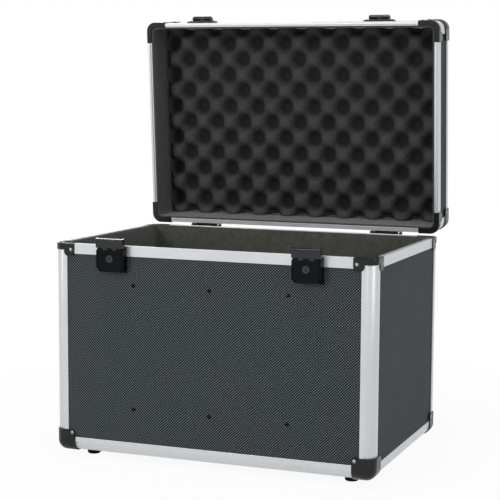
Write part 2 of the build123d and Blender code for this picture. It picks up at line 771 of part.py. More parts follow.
# Lever: a plate with side flanges and ears, and half of the draw hinge's knuckles along its top
lever_back = lever_front - lever_plate
lever_top = draw_pin_z - knuckle_radius - knuckle_relief
inner_knuckle, outer_knuckle = knuckle_halves
lever_spans = [(-lever_half_width, -outer_knuckle - knuckle_relief), (-inner_knuckle, inner_knuckle),
               (outer_knuckle + knuckle_relief, lever_half_width)]
hook_spans = both_sides(inner_knuckle + knuckle_relief, outer_knuckle)
with BuildPart() as latch_lever:
    with BuildSketch(Plane.XZ.offset(-y_front + lever_back)):
        with Locations((0, z_rim + (lever_bottom + lever_top) / 2)):
            lever_face = Rectangle(2 * lever_half_width, lever_top - lever_bottom)
        chamfer(lever_face.vertices().group_by(Axis.Y)[0], lever_chamfer)
    extrude(amount=lever_plate)
    for x in both_sides(lever_half_width - lever_side, lever_half_width):
        prism([(lever_back, lever_top), (lever_back, lever_bottom + lever_chamfer),
               (lever_side_back, lever_bottom + lever_chamfer), (lever_side_back, lever_top),
               (lever_pivot[0] - lever_ear_radius, lever_pivot[1]),
               (lever_pivot[0] + lever_ear_radius, lever_pivot[1]), draw_pin], x)
        rod(lever_pivot, lever_ear_radius, x)
    for x in lever_spans:
        prism([(lever_back, lever_top), (lever_back, draw_pin_z), (lever_front, draw_pin_z),
               (lever_front, lever_top)], x)
        rod(draw_pin, knuckle_radius, x)
    rod(draw_pin, draw_pin_radius + bore_play, (-lever_half_width, lever_half_width), Mode.SUBTRACT)
    rod(lever_pivot, lever_pin_radius + bore_play, (-lever_half_width, lever_half_width), Mode.SUBTRACT)
    with Locations(Plane((0, y_front - lever_front, z_rim + lock_z), z_dir=(0, -1, 0)).location):
        Cylinder(lock_radius + bore_play, lever_plate, mode=Mode.SUBTRACT,
                 align=(Align.CENTER, Align.CENTER, Align.MAX))
save_pair("latch_lever", latch_lever.part, latch_xs)

# Key-turned lock: bezel in front of the lever, clip behind it, cam at the back
with BuildPart() as lock_cylinder:
    for radius, near, far in ((lock_radius, lock_back, lock_face),
                              (lock_bezel_radius, lever_front + bore_play, lock_face),
                              (lock_clip_radius, lever_back - bore_play - lock_clip, lever_back - bore_play)):
        with Locations(Plane((0, y_front - near, z_rim + lock_z), z_dir=(0, -1, 0)).location):
            Cylinder(radius, far - near, align=(Align.CENTER, Align.CENTER, Align.MIN))
    plate((0, lock_cam_reach), (lock_z - lock_cam_width / 2, lock_z + lock_cam_width / 2),
          lock_back, cam_front)
    slot_width, slot_height, slot_depth = lock_slot
    plate((-slot_width / 2, slot_width / 2), (lock_z - slot_height / 2, lock_z + slot_height / 2),
          lock_face - slot_depth, lock_face, Mode.SUBTRACT)
save_pair("lock_cylinder", lock_cylinder.part, latch_xs)

with BuildPart() as draw_pin_bar:
    rod(draw_pin, draw_pin_radius, (-lever_half_width, lever_half_width))
save_pair("draw_pin", draw_pin_bar.part, latch_xs)

# Draw hook: a hood whose top lip bears down on the catch, drawn engaged and let lean forward
hook_low = draw_pin_z + knuckle_radius + knuckle_relief
hook_back = lever_front - hook_plate
with BuildPart() as latch_hook:
    plate((-latch_half_width, latch_half_width), (hook_low, hook_top), hook_back, lever_front)
    plate((-latch_half_width, latch_half_width), (hook_top - hook_lip, hook_top), hook_lip_back, lever_front)
    for x in both_sides(latch_half_width - hook_wall, latch_half_width):
        prism([(lever_front, hook_low), (lever_front, hook_top), (hook_wall_back, hook_top),
               (hook_wall_back, hook_wall_low), (hook_wall_root, hook_low)], x)
    fillet(latch_hook.edges().filter_by(Axis.X).sort_by(lambda edge: edge.center().Y - edge.center().Z)[0],
           hook_edge_radius)
    for x in hook_spans:
        prism([(hook_back, draw_pin_z), (lever_front, draw_pin_z), (lever_front, hook_low),
               (hook_back, hook_low)], x)
        rod(draw_pin, knuckle_radius, x)
    rod(draw_pin, draw_pin_radius + bore_play, (-latch_half_width, latch_half_width), Mode.SUBTRACT)
save_pair("latch_hook", latch_hook.part.rotate(draw_axis, hook_tilt), latch_xs)

# Catch on the lid's front rim: a riveted flange with a folded ledge for the hook, hollow underneath
mid_catch_spots = [Plane((side * catch_rivet_x, y_front - catch_plate, z_rim + catch_rivet_z),
                         z_dir=(0, -1, 0)).location for side in (-1, 1)]
with BuildPart() as catch:
    plate((-catch_half_width, catch_half_width), (catch_bottom, catch_top), 0, catch_plate)
    chamfer(catch.edges().filter_by(Axis.Y).group_by(Axis.Z)[-1], catch_corner)
    prism([(catch_plate, catch_ledge_under), (catch_ledge_root, catch_ledge_under),
           (catch_ledge_front, catch_ledge_top - catch_ledge_nose), (catch_ledge_front, catch_ledge_top),
           (catch_ledge_front - catch_plate + fit_gap, catch_ledge_top), (catch_plate, catch_ledge_rise)],
          (-catch_ledge_half_width, catch_ledge_half_width))
    chamfer(catch.edges().filter_by(Axis.Z).group_by(Axis.Y)[0], catch_ledge_corner)
    for x in both_sides(*catch_hollow_across):
        prism(catch_hollow, x, Mode.SUBTRACT)
    drill(mid_catch_spots, rivet_radius, through_catch)
for side, x in latch_xs.items():
    save_lid(f"catch_{side}", catch.part.moved(Location((x, 0, 0))))
with BuildPart() as catch_rivets:
    with Locations(*catch_spots):
        add(fastener(rivet_head_radius, rivet_head_height, rivet_radius, through_catch))
save_lid("catch_rivets", catch_rivets.part)

# Hinges: two knuckles on the body's leaf with the lid's long one between them, on one pin
hinge_centre = (-depth - hinge_back, hinge_up)
first, middle, last = hinge_knuckles
left_end = -hinge_width / 2
lid_span = (left_end + first + hinge_knuckle_gap, left_end + first + hinge_knuckle_gap + middle)
base_spans = ((left_end, left_end + first), (-left_end - last, -left_end))


def hinge_leaf(spans, up, spots):
    """One leaf: a plate on the rim's flange, and a strip from it to each of its knuckles."""
    root = hinge_leaf_drop - hinge_leaf_height
    with BuildPart() as leaf:
        low, high = sorted((z_rim + up * root, z_rim + up * hinge_leaf_drop))
        block((left_end, -left_end), (y_back, y_back + hinge_leaf_thickness), (low, high))
        for x in spans:
            low, high = sorted((z_rim + up * (root + hinge_leaf_thickness), z_rim + hinge_up))
            block(x, (y_back + hinge_strip[0], y_back + hinge_strip[1]), (low, high))
            rod(hinge_centre, hinge_barrel_radius, x)
        rod(hinge_centre, hinge_pin_radius + bore_play, (left_end, -left_end), Mode.SUBTRACT)
        drill(spots, rivet_radius, through_hinge)
    return leaf.part


mid_hinge_spots = {up: [Plane((step * hinge_rivet_pitch, y_back + hinge_leaf_thickness,
                               z_rim + up * hinge_rivet_drop), z_dir=(0, 1, 0)).location
                        for step in (-1, 0, 1)] for up in (-1, 1)}
save_pair("hinge_base_leaf", hinge_leaf(base_spans, -1, mid_hinge_spots[-1]), hinge_xs)
lid_leaf = hinge_leaf((lid_span,), 1, mid_hinge_spots[1])
for side, x in hinge_xs.items():
    save_lid(f"hinge_lid_leaf_{side}", lid_leaf.moved(Location((x, 0, 0))))
with BuildPart() as hinge_pin:
    rod(hinge_centre, hinge_pin_radius, (left_end, -left_end))
save_pair("hinge_pin", hinge_pin.part, hinge_xs)
hinge_rivet = fastener(rivet_head_radius, rivet_head_height, rivet_radius, through_hinge)
with BuildPart() as hinge_base_rivets:
    with Locations(*hinge_base_spots):
        add(hinge_rivet)
save("hinge_base_rivets", hinge_base_rivets.part)
with BuildPart() as hinge_lid_rivets:
    with Locations(*hinge_lid_spots):
        add(hinge_rivet)
save_lid("hinge_lid_rivets", hinge_lid_rivets.part)

# Carrying handle: two brackets screwed to the lid's top and a bail that folds flat either way
handle_base = z_top - skin
with BuildPart() as handle_brackets:
    for side in (-1, 1):
        x = (side * bracket_inner_x, side * (bracket_inner_x + bracket_length))
        block(x, (handle_y - bracket_half_foot, handle_y + bracket_half_foot),
              (handle_base, handle_base + bracket_foot_thickness))
        block(x, (handle_y - bracket_boss_radius, handle_y + bracket_boss_radius), (handle_base, handle_z))
        with Locations(Plane((side * bracket_x, handle_y, handle_z), z_dir=(1, 0, 0)).location):
            Cylinder(bracket_boss_radius, bracket_length)
        with Locations(Plane((side * bracket_inner_x, handle_y, handle_z), z_dir=(side, 0, 0)).location):
            Cylinder(handle_pin_radius + bore_play, handle_pin_reach + handle_play,
                     align=(Align.CENTER, Align.CENTER, Align.MIN), mode=Mode.SUBTRACT)
    drill(bracket_spots, screw_radius, bracket_foot_thickness + panel_thickness)
save_lid("handle_brackets", handle_brackets.part)
with BuildPart() as handle_screws:
    with Locations(*bracket_spots):
        add(fastener(screw_head_radius, screw_head_height, screw_radius,
                     bracket_foot_thickness + panel_thickness))
save_lid("handle_screws", handle_screws.part)
with BuildPart() as handle_bail:
    with BuildLine(Plane.XY.offset(handle_z)) as bail_line:
        FilletPolyline((-handle_arm_x, handle_y), (-handle_arm_x, handle_y + handle_arm),
                       (handle_arm_x, handle_y + handle_arm), (handle_arm_x, handle_y), radius=handle_bend)
    with BuildSketch(Plane(bail_line.line @ 0, z_dir=bail_line.line % 0)):
        Circle(handle_arm_radius)
    sweep()
    for side in (-1, 1):
        with Locations((side * handle_arm_x, handle_y, handle_z)):
            Sphere(handle_arm_radius)
        with Locations(Plane((side * handle_arm_x, handle_y, handle_z), z_dir=(side, 0, 0)).location):
            Cylinder(handle_pin_radius, bracket_inner_x + handle_pin_reach - handle_arm_x,
                     align=(Align.CENTER, Align.CENTER, Align.MIN))
save_lid("handle_bail", handle_bail.part)
with BuildPart() as handle_grip:
    with Locations(Plane((0, handle_y + handle_arm, handle_z), z_dir=(1, 0, 0)).location):
        Cylinder(handle_grip_radius, handle_grip_length)
        fillet(handle_grip.edges().filter_by(GeomType.CIRCLE), handle_grip_edge)
        Cylinder(handle_arm_radius + bore_play, handle_grip_length, mode=Mode.SUBTRACT)
save_lid("handle_grip", handle_grip.part)
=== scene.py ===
"""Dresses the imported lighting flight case: finishes, cloth linings, egg-crate foam, stage and camera."""
import json
import math

import bpy
from mathutils import Matrix, Vector


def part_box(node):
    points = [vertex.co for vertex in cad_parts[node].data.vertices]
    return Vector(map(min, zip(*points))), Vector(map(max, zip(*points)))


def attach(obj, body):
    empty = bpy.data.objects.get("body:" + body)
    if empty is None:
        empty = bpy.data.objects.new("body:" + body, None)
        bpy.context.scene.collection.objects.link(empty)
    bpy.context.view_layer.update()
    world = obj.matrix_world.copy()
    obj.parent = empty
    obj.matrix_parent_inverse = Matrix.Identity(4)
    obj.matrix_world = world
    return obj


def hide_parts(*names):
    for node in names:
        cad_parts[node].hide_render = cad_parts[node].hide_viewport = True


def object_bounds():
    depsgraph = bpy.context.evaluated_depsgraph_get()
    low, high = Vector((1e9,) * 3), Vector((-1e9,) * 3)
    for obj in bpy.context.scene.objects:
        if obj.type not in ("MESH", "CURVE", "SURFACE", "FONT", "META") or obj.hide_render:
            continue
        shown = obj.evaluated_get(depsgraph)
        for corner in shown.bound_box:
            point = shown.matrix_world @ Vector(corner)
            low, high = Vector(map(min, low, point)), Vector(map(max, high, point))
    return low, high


bl_info = {
    "name": "Lighting Flight Case",
    "version": (1, 0, 0),
    "blender": (4, 5, 0),
    "location": "View3D > Sidebar > Flight Case",
    "description": "Finishes, linings and foam for an open lighting flight case",
    "category": "Object",
}

MM = 0.001
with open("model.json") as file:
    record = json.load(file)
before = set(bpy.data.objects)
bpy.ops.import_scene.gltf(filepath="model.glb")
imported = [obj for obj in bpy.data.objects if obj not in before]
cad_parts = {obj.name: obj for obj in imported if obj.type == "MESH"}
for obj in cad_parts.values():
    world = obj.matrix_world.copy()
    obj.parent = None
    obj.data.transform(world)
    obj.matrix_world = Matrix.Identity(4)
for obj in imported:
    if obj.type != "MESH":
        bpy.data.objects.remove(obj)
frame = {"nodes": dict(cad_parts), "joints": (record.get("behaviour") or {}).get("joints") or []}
cad_low, cad_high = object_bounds()
# Lowest front left corner of the case without its feet, from which the camera's aim is measured
case_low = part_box("bottom_edges")[0]
# The lid stands open at rest. Its soft pieces are modelled shut, square to the axes, and then opened.
lid_joint = next(joint for joint in frame["joints"] if joint["name"] == "lid_hinge")
LID_PIVOT = Vector(lid_joint["pos_m"])
LID_ANGLE = math.radians(lid_joint["range_deg"][1])
OPEN_LID = (Matrix.Translation(LID_PIVOT) @ Matrix.Rotation(-LID_ANGLE, 4, "X")
            @ Matrix.Translation(-LID_PIVOT))
SHUT_LID = OPEN_LID.inverted()

# Linings: clearance to the walls, thickness, corner radius and soft edge
LINING_CLEARANCE = 1.4 * MM
LINING_THICKNESS = 2.95 * MM
LINING_CORNER = 9 * MM
LINING_EDGE = 1.3 * MM
# Round-over and cuts of the floor pad and of the dividers
PAD_EDGE, PAD_CUTS = 1 * MM, 24
DIVIDER_EDGE, DIVIDER_CUTS = 3 * MM, 12
# Swells that cross on a padded face, in radians per metre: waves 11 to 15 cm long
PADDING_WAVES = ((13, 41, 0), (0, 17, 53))

# Egg-crate foam: mesh step and glue line
FOAM_STEP = 3 * MM
FOAM_GLUE_LINE = 0.3 * MM
# Above 1, a pit is narrower than a peak, and its painted shade stays near its bottom
PIT_SHARPNESS = 1.15
PIT_SHADE = 1.5
# Unevenness of the peaks, and its waves in radians per metre
FOAM_SWELL = 0.6 * MM
FOAM_WAVES = ((31, 19), (-11, 37))
# Cut rim: how far its sides pull in at a peak and at a pit, and its round-over, each over a margin
RIM_PULL_PEAK, RIM_PULL_PIT, RIM_PULL_MARGIN = 0.4 * MM, 3 * MM, 14 * MM
RIM_ROUND, RIM_ROUND_MARGIN = 1.5 * MM, 5 * MM
# Least foam behind a pit, at the rim and further in, and the margin between the two
RIM_THICKNESS, PIT_THICKNESS, THICKNESS_MARGIN = 12 * MM, 6.6 * MM, 16 * MM
# Mesh attribute that carries a pit's depth to the material, which paints shade down the pits and light on the
# peaks from it
PIT_DEPTH = "pit_depth"

# Camera measured from the photograph: focal length in pixels of its 500 pixel frame, angles in degrees
PHOTO_WIDTH = 500
SENSOR_WIDTH = 36
FOCAL = 1410.8
YAW = 20.02
PITCH = 6.24
ROLL = 0.52
SHIFT = (-0.1, -0.01)
DISTANCE = 2045.8 * MM
AIM_X = 144.3 * MM
AIM_HEIGHT = 340.5 * MM

# Soft lamps: name, place and width in metres, power in watts
LAMPS = (
    ("key", (-1.2, -2.6, 1.5), 0.7, 30),
    ("fill", (2.4, -1.0, 1.2), 1.0, 8),
    ("top", (0, -0.3, 2.6), 0.9, 22),
    ("back", (-1.4, 2.6, 1.4), 1.0, 18),
)
WHITE = (1, 1, 1, 1)
# Distances from the case at which the floor starts to turn white and is white, in metres
SHADOW_REACH = (0.35, 0.9)
# Share of plain white in the floor near the case, where the rest takes the shadow
WHITE_SHARE = 0.93
# Strength of the world as light on the case, against 1 for what is seen
WORLD_LIGHT = 0.4
FLOOR_WIDTH = 30
FLOOR_GAP = 0.1 * MM


def colour(text):
    """Linear colour from an sRGB hex value such as #43474a, in the four values a socket takes."""
    channels = [int(text[i:i + 2], 16) / 255 for i in (1, 3, 5)]
    return [c / 12.92 if c <= 0.04045 else ((c + 0.055) / 1.055) ** 2.4 for c in channels] + [1.0]


# Sizes and colours a user would change


class FlightCaseSizes(bpy.types.PropertyGroup):
    """Sizes of the soft pieces and of the surface patterns."""

    emboss_pitch: bpy.props.FloatProperty(
        name="Emboss pitch", description="Spacing of the laminate's diagonal ridges",
        default=3.1 * MM, min=1 * MM, unit="LENGTH")
    edge_break: bpy.props.FloatProperty(
        name="Edge break", description="Width of the small rounding on metal edges",
        default=0.3 * MM, min=0, unit="LENGTH")
    moulded_edge: bpy.props.FloatProperty(
        name="Moulded edge", description="Width of the rounding on moulded corners and latches",
        default=0.55 * MM, min=0, unit="LENGTH")
    foam_pitch_x: bpy.props.FloatProperty(
        name="Foam pitch across", description="Pit to pit along the case",
        default=52 * MM, min=20 * MM, unit="LENGTH")
    foam_pitch_y: bpy.props.FloatProperty(
        name="Foam pitch along", description="Pit to pit from front to back",
        default=55 * MM, min=20 * MM, unit="LENGTH")
    foam_relief: bpy.props.FloatProperty(
        name="Foam relief", description="Height from a pit's bottom to a peak",
        default=18 * MM, min=2 * MM, unit="LENGTH")
    lining_wave: bpy.props.FloatProperty(
        name="Lining unevenness", description="How far the cloth on pad and dividers swells and dips",
        default=0.5 * MM, min=0, unit="LENGTH")


class FlightCaseFinishes(bpy.types.PropertyGroup):
    """Base colours of the finishes."""

    laminate: bpy.props.FloatVectorProperty(
        name="Laminate", description="Embossed panels", subtype="COLOR",
        size=4, min=0, max=1, default=colour("#3b4043"))
    aluminium: bpy.props.FloatVectorProperty(
        name="Aluminium", description="Edge and rim profiles", subtype="COLOR",
        size=4, min=0, max=1, default=colour("#cdd0d2"))
    moulded: bpy.props.FloatVectorProperty(
        name="Moulded corners", description="Ball corners and rim corners", subtype="COLOR",
        size=4, min=0, max=1, default=colour("#181b1c"))
    # On the hinge leaves this black is painted shade, standing for the shadow in the gap between lid and body
    coated: bpy.props.FloatVectorProperty(
        name="Coated steel", description="Latches, catches, hinge leaves and handle", subtype="COLOR",
        size=4, min=0, max=1, default=colour("#0d1012"))
    plated: bpy.props.FloatVectorProperty(
        name="Plated steel", description="Rivets, foot screws and hinge pins", subtype="COLOR",
        size=4, min=0, max=1, default=colour("#8d8f91"))
    oxide: bpy.props.FloatVectorProperty(
        name="Blackened steel", description="Screws, latch rivets and latch pins", subtype="COLOR",
        size=4, min=0, max=1, default=colour("#161718"))
    lock: bpy.props.FloatVectorProperty(
        name="Lock steel", description="Faces of the lock cylinders", subtype="COLOR",
        size=4, min=0, max=1, default=colour("#3d3f41"))
    rubber: bpy.props.FloatVectorProperty(
        name="Rubber", description="Feet and grip", subtype="COLOR",
        size=4, min=0, max=1, default=colour("#0f1010"))
    cloth: bpy.props.FloatVectorProperty(
        name="Lining cloth", description="Linings and dividers", subtype="COLOR",
        size=4, min=0, max=1, default=colour("#464641"))
    foam: bpy.props.FloatVectorProperty(
        name="Foam", description="Egg-crate foam in the lid", subtype="COLOR",
        size=4, min=0, max=1, default=colour("#323332"))


def sizes():
    """The sizes as they are set in the scene."""
    return bpy.context.scene.flight_case_sizes


def finishes():
    """The colours as they are set in the scene."""
    return bpy.context.scene.flight_case_finishes


# Materials. A pattern's scale is one over its real size in metres.


def fill_sockets(tree, node, values=None, links=None):
    """Sets a node's sockets to values, or links them to other nodes' outputs."""
    for name, value in (values or {}).items():
        node.inputs[name].default_value = value
    for name, output in (links or {}).items():
        tree.links.new(output, node.inputs[name])


def add_node(tree, kind, settings=None, values=None, links=None, stops=()):
    """One node with its settings, sockets and links, and with its colour stops where it has any."""
    made = tree.nodes.new(kind)
    for name, value in (settings or {}).items():
        setattr(made, name, value)
    fill_sockets(tree, made, values, links)
    for number, (position, shade) in enumerate(stops):
        made.color_ramp.elements[number].position = position
        made.color_ramp.elements[number].color = shade
    return made


def new_material(name, values):
    """A material with one Principled shader set to the values, and the Object coordinates."""
    material = bpy.data.materials.new(name)
    material.use_nodes = True
    tree = material.node_tree
    shader = tree.nodes["Principled BSDF"]
    fill_sockets(tree, shader, values)
    return material, tree, shader, add_node(tree, "ShaderNodeTexCoord").outputs["Object"]


def tone(base, factor):
    """A colour made lighter or darker."""
    return [min(1.0, c * factor) for c in base[:3]] + [1.0]


def embossed_laminate(name, turn):
    """Pressed phenolic laminate: dull, with crossed diagonal ridges that catch the light as fine diamonds,
    through a bump and through painted highlights on the ridges and painted shade in the grooves.

    The ridges are about two pixels of the render apart, because finer ones wouldn't show.
    """
    base, pitch = finishes().laminate, sizes().emboss_pitch
    material, tree, shader, place = new_material(name, {
        "Base Color": base, "Metallic": 0.0, "Specular IOR Level": 0.02})
    face = add_node(tree, "ShaderNodeMapping", values={"Rotation": turn}, links={"Vector": place})
    ridges = []
    for slope in (math.radians(44), math.radians(-47)):
        lean = add_node(tree, "ShaderNodeMapping", values={"Rotation": (0, 0, slope)},
                        links={"Vector": face.outputs["Vector"]})
        # A wave texture repeats every pi / 10 units at a scale of 1
        ridges.append(add_node(tree, "ShaderNodeTexWave", {"bands_direction": "X"},
                               {"Scale": math.pi / 10 / pitch}, {"Vector": lean.outputs["Vector"]}))
    relief = add_node(tree, "ShaderNodeMath", {"operation": "MULTIPLY"},
                      links={number: ridge.outputs["Fac"] for number, ridge in enumerate(ridges)})
    # Painted highlights on the ridges and painted shade in the grooves between them
    tint = add_node(tree, "ShaderNodeValToRGB", links={"Fac": relief.outputs["Value"]},
                    stops=((0, tone(base, 0.12)), (1, tone(base, 4.6))))
    wear = add_node(tree, "ShaderNodeTexNoise", values={
        "Scale": 1 / (60 * MM), "Detail": 4, "Roughness": 0.55}, links={"Vector": place})
    sheen = add_node(tree, "ShaderNodeMapRange", values={"To Min": 0.38, "To Max": 0.56},
                     links={"Value": wear.outputs["Fac"]})
    bump = add_node(tree, "ShaderNodeBump", values={"Distance": 0.12 * MM},
                    links={"Height": relief.outputs["Value"]})
    fill_sockets(tree, shader, links={
        "Base Color": tint.outputs["Color"], "Roughness": sheen.outputs["Result"],
        "Normal": bump.outputs["Normal"]})
    return material


def satin_anodised_aluminium():
    """Extruded 6063 aluminium, satin anodised: a soft sheen with faint blotches and handling marks.

    The etched grain, far finer in real life, is drawn at 0.9 mm so that it shows.
    """
    base = finishes().aluminium
    material, tree, shader, place = new_material("satin anodised aluminium", {
        "Base Color": base, "Metallic": 0.6})
    blotch = add_node(tree, "ShaderNodeTexNoise", values={
        "Scale": 1 / (45 * MM), "Detail": 6, "Roughness": 0.55}, links={"Vector": place})
    sheen = add_node(tree, "ShaderNodeMapRange", values={"To Min": 0.30, "To Max": 0.44},
                     links={"Value": blotch.outputs["Fac"]})
    tint = add_node(tree, "ShaderNodeValToRGB", links={"Fac": blotch.outputs["Fac"]},
                    stops=((0, tone(base, 0.94)), (1, tone(base, 1.04))))
    grain = add_node(tree, "ShaderNodeTexNoise", values={
        "Scale": 1 / (0.9 * MM), "Detail": 3, "Roughness": 0.55}, links={"Vector": place})
    bump = add_node(tree, "ShaderNodeBump", values={"Distance": 0.02 * MM},
                    links={"Height": grain.outputs["Fac"]})
    fill_sockets(tree, shader, links={
        "Base Color": tint.outputs["Color"], "Roughness": sheen.outputs["Result"],
        "Normal": bump.outputs["Normal"]})
    return material


def moulded_abs():
    """Injection-moulded ABS: a satin gloss over spark-eroded grain, slightly greyer where it is handled.

    The grain is drawn at 0.7 mm, coarser than the real one, so that it shows.
    """
    base = finishes().moulded
    material, tree, shader, place = new_material("moulded abs", {
        "Base Color": base, "Metallic": 0.0, "Roughness": 0.26, "Specular IOR Level": 0.25})
    rubbed = add_node(tree, "ShaderNodeTexNoise", values={
        "Scale": 1 / (12 * MM), "Detail": 5, "Roughness": 0.55}, links={"Vector": place})
    tint = add_node(tree, "ShaderNodeValToRGB", links={"Fac": rubbed.outputs["Fac"]},
                    stops=((0, tone(base, 0.8)), (1, tone(base, 1.35))))
    grain = add_node(tree, "ShaderNodeTexNoise", values={
        "Scale": 1 / (0.7 * MM), "Detail": 2, "Roughness": 0.55}, links={"Vector": place})
    bump = add_node(tree, "ShaderNodeBump", values={"Distance": 0.05 * MM},
                    links={"Height": grain.outputs["Fac"]})
    fill_sockets(tree, shader, links={
        "Base Color": tint.outputs["Color"], "Normal": bump.outputs["Normal"]})
    return material


def blackened_steel(name, base):
    """Black-oxide steel of screws, pins and locks: dark and oily, so it shows as one small glint."""
    material, tree, shader, place = new_material(name, {"Base Color": base, "Metallic": 1.0})
    scratches = add_node(tree, "ShaderNodeTexNoise", values={
        "Scale": 1 / (2 * MM), "Detail": 5, "Roughness": 0.55}, links={"Vector": place})
    sheen = add_node(tree, "ShaderNodeMapRange", values={"To Min": 0.18, "To Max": 0.36},
                     links={"Value": scratches.outputs["Fac"]})
    fill_sockets(tree, shader, links={"Roughness": sheen.outputs["Result"]})
    return material


def powder_coated_steel(name, gloss):
    """Pressed steel, black powder coat: satin, with the slight orange peel of a baked coat."""
    base = finishes().coated
    material, tree, shader, place = new_material(name, {
        "Base Color": base, "Metallic": 0.0, "Roughness": 0.24, "Specular IOR Level": gloss})
    scuff = add_node(tree, "ShaderNodeTexNoise", values={
        "Scale": 1 / (9 * MM), "Detail": 6, "Roughness": 0.55}, links={"Vector": place})
    tint = add_node(tree, "ShaderNodeValToRGB", links={"Fac": scuff.outputs["Fac"]},
                    stops=((0, tone(base, 0.85)), (1, tone(base, 1.5))))
    peel = add_node(tree, "ShaderNodeTexNoise", values={
        "Scale": 1 / (1.4 * MM), "Detail": 2, "Roughness": 0.55}, links={"Vector": place})
    bump = add_node(tree, "ShaderNodeBump", values={"Distance": 0.03 * MM},
                    links={"Height": peel.outputs["Fac"]})
    fill_sockets(tree, shader, links={
        "Base Color": tint.outputs["Color"], "Normal": bump.outputs["Normal"]})
    return material


def zinc_plated_steel():
    """Zinc-plated steel: smoother than the profiles, with a light mottle."""
    base = finishes().plated
    material, tree, shader, place = new_material("zinc plated steel", {
        "Base Color": base, "Metallic": 1.0})
    mottle = add_node(tree, "ShaderNodeTexNoise", values={
        "Scale": 1 / (3 * MM), "Detail": 4, "Roughness": 0.55}, links={"Vector": place})
    sheen = add_node(tree, "ShaderNodeMapRange", values={"To Min": 0.2, "To Max": 0.38},
                     links={"Value": mottle.outputs["Fac"]})
    tint = add_node(tree, "ShaderNodeValToRGB", links={"Fac": mottle.outputs["Fac"]},
                    stops=((0, tone(base, 0.85)), (1, tone(base, 1.1))))
    fill_sockets(tree, shader, links={
        "Base Color": tint.outputs["Color"], "Roughness": sheen.outputs["Result"]})
    return material


def moulded_rubber():
    """Moulded EPDM rubber: matt and dusty, with a fine mould grain."""
    base = finishes().rubber
    material, tree, shader, place = new_material("moulded rubber", {
        "Base Color": base, "Metallic": 0.0, "Roughness": 0.78, "Specular IOR Level": 0.1})
    dust = add_node(tree, "ShaderNodeTexNoise", values={
        "Scale": 1 / (8 * MM), "Detail": 5, "Roughness": 0.55}, links={"Vector": place})
    tint = add_node(tree, "ShaderNodeValToRGB", links={"Fac": dust.outputs["Fac"]},
                    stops=((0, tone(base, 0.8)), (1, tone(base, 1.6))))
    grain = add_node(tree, "ShaderNodeTexNoise", values={
        "Scale": 1 / (0.5 * MM), "Detail": 2, "Roughness": 0.55}, links={"Vector": place})
    bump = add_node(tree, "ShaderNodeBump", values={"Distance": 0.06 * MM},
                    links={"Height": grain.outputs["Fac"]})
    fill_sockets(tree, shader, links={
        "Base Color": tint.outputs["Color"], "Normal": bump.outputs["Normal"]})
    return material


def needled_cloth():
    """Needled polyester cloth: matt, fuzzy at a grazing angle, with short fibres lying every way.

    The fibres, finer than a hair, are drawn as tufts 1.6 mm across so that they show.
    """
    base = finishes().cloth
    material, tree, shader, place = new_material("needled cloth", {
        "Base Color": base, "Metallic": 0.0, "Roughness": 0.92, "Specular IOR Level": 0.1,
        "Sheen Weight": 0.25, "Sheen Roughness": 0.6})
    patches = add_node(tree, "ShaderNodeTexNoise", values={
        "Scale": 1 / (12 * MM), "Detail": 8, "Roughness": 0.8}, links={"Vector": place})
    tint = add_node(tree, "ShaderNodeValToRGB", links={"Fac": patches.outputs["Fac"]},
                    stops=((0.3, tone(base, 0.6)), (0.7, tone(base, 1.45))))
    fibres = add_node(tree, "ShaderNodeTexNoise", values={
        "Scale": 1 / (1.6 * MM), "Detail": 6, "Roughness": 0.75}, links={"Vector": place})
    bump = add_node(tree, "ShaderNodeBump", values={"Distance": 0.35 * MM},
                    links={"Height": fibres.outputs["Fac"]})
    fill_sockets(tree, shader, links={
        "Base Color": tint.outputs["Color"], "Normal": bump.outputs["Normal"]})
    return material


def open_cell_foam():
    """Open-cell polyurethane foam: no gloss, pricked all over by small cells, with painted shade down its
    pits and painted light on its peaks.

    The cells are drawn at 2.2 mm, coarser than the real ones, so that they show.
    """
    base = finishes().foam
    material, tree, shader, place = new_material("open cell foam", {
        "Base Color": base, "Metallic": 0.0, "Roughness": 0.95, "Specular IOR Level": 0.0})
    cells = add_node(tree, "ShaderNodeTexVoronoi", {"feature": "F1"}, {"Scale": 1 / (2.2 * MM)},
                     {"Vector": place})
    patches = add_node(tree, "ShaderNodeTexNoise", values={
        "Scale": 1 / (3 * MM), "Detail": 8, "Roughness": 0.8}, links={"Vector": place})
    pricks = add_node(tree, "ShaderNodeMath", {"operation": "MULTIPLY"},
                      links={0: patches.outputs["Fac"], 1: cells.outputs["Distance"]})
    pit = add_node(tree, "ShaderNodeAttribute", {"attribute_name": PIT_DEPTH})
    level = add_node(tree, "ShaderNodeMath", {"operation": "ADD"},
                     links={0: pit.outputs["Fac"], 1: pricks.outputs["Value"]})
    # Painted light on the peaks and painted shade down the pits, with the cells' pattern over them
    tint = add_node(tree, "ShaderNodeValToRGB", links={"Fac": level.outputs["Value"]},
                    stops=((0, tone(base, 2.6)), (1, tone(base, 0.8))))
    bump = add_node(tree, "ShaderNodeBump", values={"Distance": 0.5 * MM},
                    links={"Height": cells.outputs["Distance"]})
    fill_sockets(tree, shader, links={
        "Base Color": tint.outputs["Color"], "Normal": bump.outputs["Normal"]})
    return material


def dress(nodes, material):
    """Gives CAD nodes one material in place of the one they came with."""
    for name in nodes:
        data = frame["nodes"][name].data
        data.materials.clear()
        data.materials.append(material)


def break_edges(nodes, width):
    """Rounds the sharp edges of CAD nodes a little with live modifiers, so that they catch the light."""
    for name in nodes:
        piece = frame["nodes"][name]
        weld = piece.modifiers.new("weld", "WELD")
        weld.merge_threshold = 0.002 * MM
        edge = piece.modifiers.new("edge break", "BEVEL")
        edge.width = width
        edge.segments = 2
        edge.limit_method = "ANGLE"
        edge.angle_limit = math.radians(35)
        edge.harden_normals = True


# Modelling by hand


def only(piece):
    """Leaves one object selected and active."""
    bpy.ops.object.select_all(action="DESELECT")
    piece.select_set(True)
    bpy.context.view_layer.objects.active = piece


